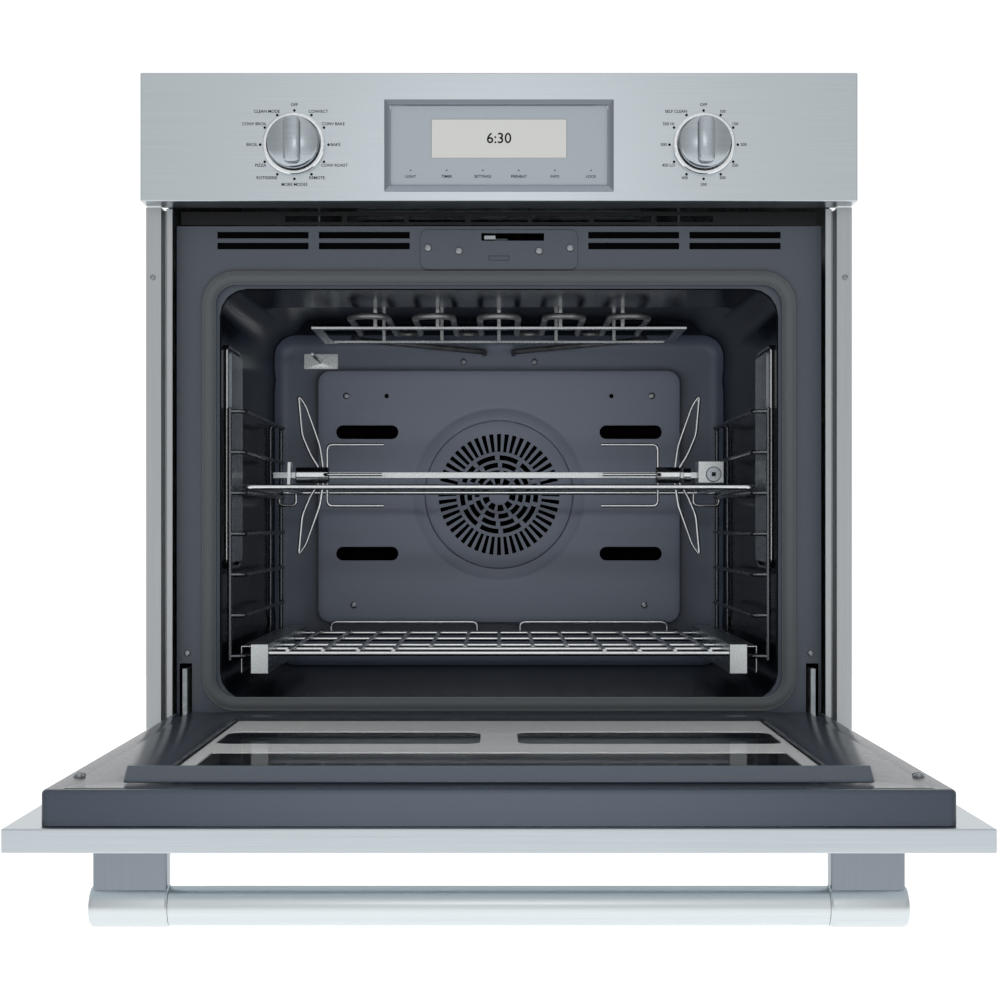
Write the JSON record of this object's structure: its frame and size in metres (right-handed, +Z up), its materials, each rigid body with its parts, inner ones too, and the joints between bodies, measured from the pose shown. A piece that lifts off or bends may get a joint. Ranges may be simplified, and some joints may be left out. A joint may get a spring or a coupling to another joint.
{
  "type": "wall oven",
  "caption": "Built-in wall oven with an open drop-down door, sliding rack, rotisserie, convection fan and two control knobs.",
  "frame": {"origin": "middle of the underside of the base pan, where it rests on the cabinet shelf", "axes": "+X to the right seen from the front, +Y towards the back of the oven, +Z up"},
  "size_m": [0.7556, 1.1278, 0.7922],
  "materials": {
    "stainless": "brushed stainless steel",
    "chrome": "bright chrome plate",
    "zinc_steel": "zinc-coated sheet steel",
    "enamel": "glossy blue-black porcelain enamel",
    "black_steel": "black-coated steel",
    "glass": "tinted heat-resistant glass",
    "display": "smoked touch panel",
    "screen": "pale warm-grey display",
    "gasket": "grey-green silicone seal",
    "element": "oxidised heating-element sheath",
    "wool": "mineral wool",
    "board": "green circuit board"
  },
  "bodies": {
    "oven": {"back_panel": "zinc_steel", "bake_element": "element", "base_pan": "zinc_steel", "blower_housing": "zinc_steel", "broil_element": "element", "broil_frame": "stainless", "cavity_liner": "enamel", "control_board": "board", "control_panel": "stainless", "convection_element": "element", "display_frame": "stainless", "display_glass": "display", "display_screen": "screen", "door_gasket": "gasket", "fan_cover": "enamel", "fan_motor": "zinc_steel", "front_frame": "enamel", "insulation": "wool", "latch_cover": "enamel", "left_hinge_arm": "zinc_steel", "left_knob_ring": "chrome", "left_lamp_lens": "glass", "left_rack_ladder": "chrome", "left_rack_rail": "stainless", "left_side_panel": "zinc_steel", "left_trim": "stainless", "right_hinge_arm": "zinc_steel", "right_knob_ring": "chrome", "right_lamp_lens": "glass", "right_rack_ladder": "chrome", "right_rack_rail": "stainless", "right_side_panel": "zinc_steel", "right_trim": "stainless", "rotisserie_motor": "zinc_steel", "temperature_sensor": "stainless", "top_cover": "zinc_steel", "vent_outlet": "black_steel"},
    "door": {"door_skin": "stainless", "outer_glass": "glass", "door_liner": "enamel", "inner_glass": "glass", "window_frame": "zinc_steel", "door_bar": "black_steel", "handle_tube": "stainless", "left_handle_post": "stainless", "right_handle_post": "stainless"},
    "mode_knob": {"mode_knob": "stainless"},
    "temperature_knob": {"temperature_knob": "stainless"},
    "latch": {"latch_hook": "zinc_steel"},
    "convection_fan": {"convection_fan": "zinc_steel"},
    "blower_wheel": {"blower_wheel": "zinc_steel"},
    "rack": {"oven_rack": "chrome", "left_rack_channel": "stainless", "right_rack_channel": "stainless"},
    "cradle": {"rotisserie_cradle": "chrome", "spit_gearbox": "zinc_steel"},
    "spit": {"spit_rod": "stainless", "left_spit_fork": "stainless", "right_spit_fork": "stainless"}
  },
  "joints": [
    {"name": "door_hinge", "type": "hinge", "parent": "oven", "child": "door", "pos_m": [0, -0.303, 0.0414], "axis": [-1, 0, 0], "range_deg": [0, 90]},
    {"name": "mode_knob_turn", "type": "hinge", "parent": "oven", "child": "mode_knob", "pos_m": [-0.2155, -0.333, 0.661], "axis": [0, 1, 0], "continuous": true},
    {"name": "temperature_knob_turn", "type": "hinge", "parent": "oven", "child": "temperature_knob", "pos_m": [0.2155, -0.333, 0.661], "axis": [0, 1, 0], "continuous": true},
    {"name": "latch_slide", "type": "slide", "parent": "oven", "child": "latch", "axis": [0, -1, 0], "range_m": [0, 0.03]},
    {"name": "convection_fan_spin", "type": "hinge", "parent": "oven", "child": "convection_fan", "pos_m": [0, 0.187, 0.3012], "axis": [0, 1, 0], "continuous": true},
    {"name": "cooling_blower_spin", "type": "hinge", "parent": "oven", "child": "blower_wheel", "pos_m": [0, -0.043, 0.64], "axis": [1, 0, 0], "continuous": true},
    {"name": "rack_slide", "type": "slide", "parent": "oven", "child": "rack", "axis": [0, 1, 0], "range_m": [-0.38, 0]},
    {"name": "cradle_slide", "type": "slide", "parent": "oven", "child": "cradle", "axis": [0, 1, 0], "range_m": [-0.3, 0]},
    {"name": "spit_spin", "type": "hinge", "parent": "cradle", "child": "spit", "pos_m": [0, -0.011, 0.3217], "axis": [1, 0, 0], "continuous": true}
  ]
}
